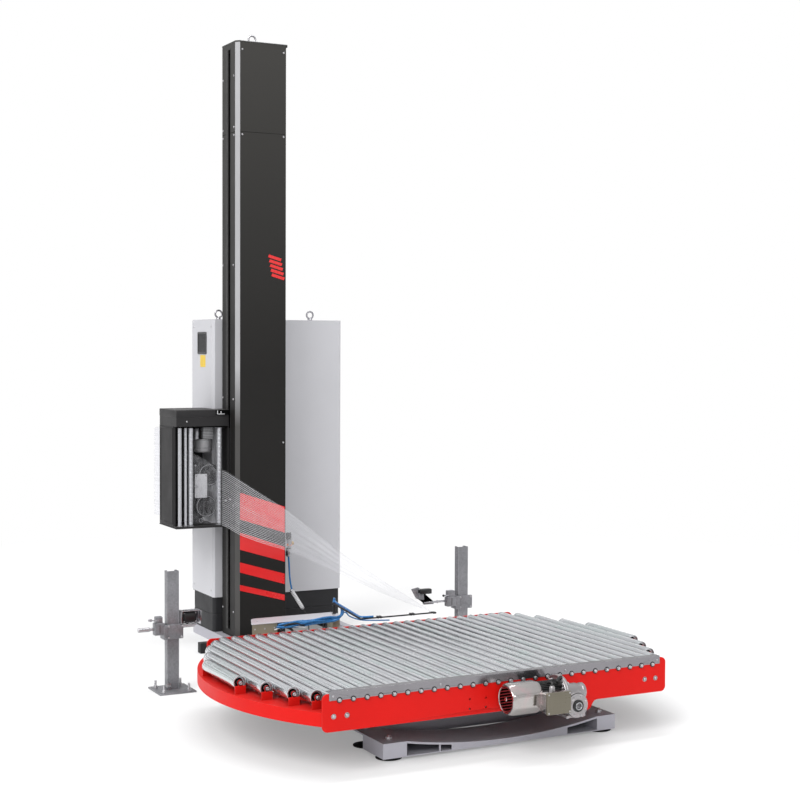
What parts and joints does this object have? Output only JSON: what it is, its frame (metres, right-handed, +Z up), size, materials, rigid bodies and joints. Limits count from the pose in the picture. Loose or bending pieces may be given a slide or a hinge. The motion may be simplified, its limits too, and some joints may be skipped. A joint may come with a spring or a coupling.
{
  "type": "turntable pallet wrapper",
  "caption": "Pallet wrapping machine with a roller-topped turntable, a film carriage on a lifting mast, a control cabinet, a film clamp and sensor posts.",
  "frame": {"origin": "centre of the turntable on the floor", "axes": "+Z up, +X across the rollers along the front side plate, +Y along the rollers towards the mast"},
  "size_m": [2.1556, 3.468, 3.5285],
  "materials": {
    "base_grey": "semi-gloss light grey powder coat",
    "foot_black": "matt black rubber",
    "bearing_steel": "oiled machined steel",
    "motor_grey": "dark grey paint over cast housing",
    "mast_black": "satin near-black powder coat with plain red bands",
    "belt_rubber": "toothed black belt",
    "zinc": "zinc plated",
    "cabinet_grey": "light grey textured powder coat",
    "plinth_grey": "dark grey powder coat",
    "screen_black": "glossy black panel with a plain yellow plate below",
    "galvanised": "galvanised sheet",
    "clamp_zinc": "pale metal cover over a zinc plated box",
    "hose_blue": "blue polyurethane hose",
    "film_clear": "clear stretch film",
    "table_red": "glossy red powder coat",
    "rail_zinc": "zinc plated sheet",
    "bolt_steel": "zinc plated bolts",
    "roller_zinc": "zinc plated steel tube",
    "motor_aluminium": "polished fan cover and grey terminal box",
    "gearbox_aluminium": "die-cast aluminium",
    "wheel_rubber": "rubber tyred drive wheel",
    "carriage_dark": "charcoal powder coat",
    "guide_aluminium": "anodised guide roller",
    "film_white": "translucent white film roll",
    "arm_black": "black steel arm with rubber pads",
    "estop_red": "red mushroom button"
  },
  "bodies": {
    "base": {"base_frame": "base_grey", "levelling_feet": "foot_black", "slewing_bearing": "bearing_steel", "table_drive_motor": "motor_grey", "mast_column": "mast_black", "lift_belt": "belt_rubber", "lifting_eyes": "zinc", "cabinet_shell": "cabinet_grey", "cabinet_plinth": "plinth_grey", "control_screen": "screen_black", "sensor_posts": "galvanised", "sensor_heads": "galvanised", "film_clamp_base": "clamp_zinc", "air_line": "hose_blue", "film_web": "film_clear"},
    "table": {"table_frame": "table_red", "side_plates": "table_red", "guard_rails": "rail_zinc", "roller_axles": "bolt_steel", "end_rollers": "roller_zinc", "frame_bolts": "bolt_steel", "roller_motor": "motor_aluminium", "roller_gearbox": "gearbox_aluminium"},
    "drive_wheel": {"drive_wheel": "wheel_rubber"},
    "carriage": {"carriage_frame": "carriage_dark", "carriage_casing": "carriage_dark", "carriage_cover": "carriage_dark", "stretch_motor": "motor_grey"},
    "stretch_roller_1": {"stretch_roller_1": "guide_aluminium"},
    "stretch_roller_2": {"stretch_roller_2": "guide_aluminium"},
    "film_roll": {"film_roll": "film_white"},
    "clamp_arm": {"clamp_arm": "arm_black"},
    "cabinet_door": {"cabinet_door": "cabinet_grey"},
    "estop_button": {"estop_button": "estop_red"},
    "roller_01": {"roller_01": "roller_zinc"},
    "roller_02": {"roller_02": "roller_zinc"},
    "roller_03": {"roller_03": "roller_zinc"},
    "roller_04": {"roller_04": "roller_zinc"},
    "roller_05": {"roller_05": "roller_zinc"},
    "roller_06": {"roller_06": "roller_zinc"},
    "roller_07": {"roller_07": "roller_zinc"},
    "roller_08": {"roller_08": "roller_zinc"},
    "roller_09": {"roller_09": "roller_zinc"},
    "roller_10": {"roller_10": "roller_zinc"},
    "roller_11": {"roller_11": "roller_zinc"},
    "roller_12": {"roller_12": "roller_zinc"},
    "roller_13": {"roller_13": "roller_zinc"},
    "roller_14": {"roller_14": "roller_zinc"},
    "roller_15": {"roller_15": "roller_zinc"},
    "roller_16": {"roller_16": "roller_zinc"},
    "roller_17": {"roller_17": "roller_zinc"},
    "roller_18": {"roller_18": "roller_zinc"},
    "roller_19": {"roller_19": "roller_zinc"},
    "roller_20": {"roller_20": "roller_zinc"},
    "roller_21": {"roller_21": "roller_zinc"},
    "roller_22": {"roller_22": "roller_zinc"},
    "roller_23": {"roller_23": "roller_zinc"},
    "roller_24": {"roller_24": "roller_zinc"},
    "roller_25": {"roller_25": "roller_zinc"},
    "roller_26": {"roller_26": "roller_zinc"}
  },
  "joints": [
    {"name": "table_spin", "type": "hinge", "parent": "base", "child": "table", "pos_m": [0, 0, 0.2], "axis": [0, 0, 1], "continuous": true},
    {"name": "drive_wheel_spin", "type": "hinge", "parent": "base", "child": "drive_wheel", "pos_m": [-0.2768, 0.2768, 0.16], "axis": [0, 0, 1], "continuous": true},
    {"name": "carriage_lift", "type": "slide", "parent": "base", "child": "carriage", "axis": [0, 0, 1], "range_m": [-0.56, 2]},
    {"name": "stretch_roller_1_spin", "type": "hinge", "parent": "carriage", "child": "stretch_roller_1", "pos_m": [-0.441, 2.055, 1], "axis": [0, 0, 1], "continuous": true},
    {"name": "stretch_roller_2_spin", "type": "hinge", "parent": "carriage", "child": "stretch_roller_2", "pos_m": [-0.268, 2.057, 1], "axis": [0, 0, 1], "continuous": true},
    {"name": "film_roll_spin", "type": "hinge", "parent": "carriage", "child": "film_roll", "pos_m": [-0.395, 2.465, 1], "axis": [0, 0, 1], "continuous": true},
    {"name": "clamp_swing", "type": "hinge", "parent": "base", "child": "clamp_arm", "pos_m": [0.062, 1.19, 0.35], "axis": [0, 0, 1], "range_deg": [0, 45]},
    {"name": "door_hinge", "type": "hinge", "parent": "base", "child": "cabinet_door", "pos_m": [0.566, 2.544, 1.08], "axis": [0, 0, -1], "range_deg": [0, 110]},
    {"name": "estop_press", "type": "slide", "parent": "base", "child": "estop_button", "axis": [-1, 0, 0], "range_m": [0, 0.006]},
    {"name": "roller_01_spin", "type": "hinge", "parent": "table", "child": "roller_01", "pos_m": [-0.78125, 0, 0.3125], "axis": [0, 1, 0], "continuous": true},
    {"name": "roller_02_spin", "type": "hinge", "parent": "table", "child": "roller_02", "pos_m": [-0.71875, 0, 0.3125], "axis": [0, 1, 0], "continuous": true},
    {"name": "roller_03_spin", "type": "hinge", "parent": "table", "child": "roller_03", "pos_m": [-0.65625, 0, 0.3125], "axis": [0, 1, 0], "continuous": true},
    {"name": "roller_04_spin", "type": "hinge", "parent": "table", "child": "roller_04", "pos_m": [-0.59375, 0, 0.3125], "axis": [0, 1, 0], "continuous": true},
    {"name": "roller_05_spin", "type": "hinge", "parent": "table", "child": "roller_05", "pos_m": [-0.53125, 0, 0.3125], "axis": [0, 1, 0], "continuous": true},
    {"name": "roller_06_spin", "type": "hinge", "parent": "table", "child": "roller_06", "pos_m": [-0.46875, 0, 0.3125], "axis": [0, 1, 0], "continuous": true},
    {"name": "roller_07_spin", "type": "hinge", "parent": "table", "child": "roller_07", "pos_m": [-0.40625, 0, 0.3125], "axis": [0, 1, 0], "continuous": true},
    {"name": "roller_08_spin", "type": "hinge", "parent": "table", "child": "roller_08", "pos_m": [-0.34375, 0, 0.3125], "axis": [0, 1, 0], "continuous": true},
    {"name": "roller_09_spin", "type": "hinge", "parent": "table", "child": "roller_09", "pos_m": [-0.28125, 0, 0.3125], "axis": [0, 1, 0], "continuous": true},
    {"name": "roller_10_spin", "type": "hinge", "parent": "table", "child": "roller_10", "pos_m": [-0.21875, 0, 0.3125], "axis": [0, 1, 0], "continuous": true},
    {"name": "roller_11_spin", "type": "hinge", "parent": "table", "child": "roller_11", "pos_m": [-0.15625, 0, 0.3125], "axis": [0, 1, 0], "continuous": true},
    {"name": "roller_12_spin", "type": "hinge", "parent": "table", "child": "roller_12", "pos_m": [-0.09375, 0, 0.3125], "axis": [0, 1, 0], "continuous": true},
    {"name": "roller_13_spin", "type": "hinge", "parent": "table", "child": "roller_13", "pos_m": [-0.03125, 0, 0.3125], "axis": [0, 1, 0], "continuous": true},
    {"name": "roller_14_spin", "type": "hinge", "parent": "table", "child": "roller_14", "pos_m": [0.03125, 0, 0.3125], "axis": [0, 1, 0], "continuous": true},
    {"name": "roller_15_spin", "type": "hinge", "parent": "table", "child": "roller_15", "pos_m": [0.09375, 0, 0.3125], "axis": [0, 1, 0], "continuous": true},
    {"name": "roller_16_spin", "type": "hinge", "parent": "table", "child": "roller_16", "pos_m": [0.15625, 0, 0.3125], "axis": [0, 1, 0], "continuous": true},
    {"name": "roller_17_spin", "type": "hinge", "parent": "table", "child": "roller_17", "pos_m": [0.21875, 0, 0.3125], "axis": [0, 1, 0], "continuous": true},
    {"name": "roller_18_spin", "type": "hinge", "parent": "table", "child": "roller_18", "pos_m": [0.28125, 0, 0.3125], "axis": [0, 1, 0], "continuous": true},
    {"name": "roller_19_spin", "type": "hinge", "parent": "table", "child": "roller_19", "pos_m": [0.34375, 0, 0.3125], "axis": [0, 1, 0], "continuous": true},
    {"name": "roller_20_spin", "type": "hinge", "parent": "table", "child": "roller_20", "pos_m": [0.40625, 0, 0.3125], "axis": [0, 1, 0], "continuous": true},
    {"name": "roller_21_spin", "type": "hinge", "parent": "table", "child": "roller_21", "pos_m": [0.46875, 0, 0.3125], "axis": [0, 1, 0], "continuous": true},
    {"name": "roller_22_spin", "type": "hinge", "parent": "table", "child": "roller_22", "pos_m": [0.53125, 0, 0.3125], "axis": [0, 1, 0], "continuous": true},
    {"name": "roller_23_spin", "type": "hinge", "parent": "table", "child": "roller_23", "pos_m": [0.59375, 0, 0.3125], "axis": [0, 1, 0], "continuous": true},
    {"name": "roller_24_spin", "type": "hinge", "parent": "table", "child": "roller_24", "pos_m": [0.65625, 0, 0.3125], "axis": [0, 1, 0], "continuous": true},
    {"name": "roller_25_spin", "type": "hinge", "parent": "table", "child": "roller_25", "pos_m": [0.71875, 0, 0.3125], "axis": [0, 1, 0], "continuous": true},
    {"name": "roller_26_spin", "type": "hinge", "parent": "table", "child": "roller_26", "pos_m": [0.78125, 0, 0.3125], "axis": [0, 1, 0], "continuous": true}
  ],
  "couplings": [
    {"joint": "drive_wheel_spin", "follows": "table_spin", "ratio": -5.5},
    {"joint": "stretch_roller_1_spin", "follows": "stretch_roller_2_spin", "ratio": -0.4},
    {"joint": "film_roll_spin", "follows": "stretch_roller_2_spin", "ratio": -0.0424},
    {"joint": "roller_02_spin", "follows": "roller_01_spin", "ratio": 1},
    {"joint": "roller_03_spin", "follows": "roller_01_spin", "ratio": 1},
    {"joint": "roller_04_spin", "follows": "roller_01_spin", "ratio": 1},
    {"joint": "roller_05_spin", "follows": "roller_01_spin", "ratio": 1},
    {"joint": "roller_06_spin", "follows": "roller_01_spin", "ratio": 1},
    {"joint": "roller_07_spin", "follows": "roller_01_spin", "ratio": 1},
    {"joint": "roller_08_spin", "follows": "roller_01_spin", "ratio": 1},
    {"joint": "roller_09_spin", "follows": "roller_01_spin", "ratio": 1},
    {"joint": "roller_10_spin", "follows": "roller_01_spin", "ratio": 1},
    {"joint": "roller_11_spin", "follows": "roller_01_spin", "ratio": 1},
    {"joint": "roller_12_spin", "follows": "roller_01_spin", "ratio": 1},
    {"joint": "roller_13_spin", "follows": "roller_01_spin", "ratio": 1},
    {"joint": "roller_14_spin", "follows": "roller_01_spin", "ratio": 1},
    {"joint": "roller_15_spin", "follows": "roller_01_spin", "ratio": 1},
    {"joint": "roller_16_spin", "follows": "roller_01_spin", "ratio": 1},
    {"joint": "roller_17_spin", "follows": "roller_01_spin", "ratio": 1},
    {"joint": "roller_18_spin", "follows": "roller_01_spin", "ratio": 1},
    {"joint": "roller_19_spin", "follows": "roller_01_spin", "ratio": 1},
    {"joint": "roller_20_spin", "follows": "roller_01_spin", "ratio": 1},
    {"joint": "roller_21_spin", "follows": "roller_01_spin", "ratio": 1},
    {"joint": "roller_22_spin", "follows": "roller_01_spin", "ratio": 1},
    {"joint": "roller_23_spin", "follows": "roller_01_spin", "ratio": 1},
    {"joint": "roller_24_spin", "follows": "roller_01_spin", "ratio": 1},
    {"joint": "roller_25_spin", "follows": "roller_01_spin", "ratio": 1},
    {"joint": "roller_26_spin", "follows": "roller_01_spin", "ratio": 1}
  ]
}
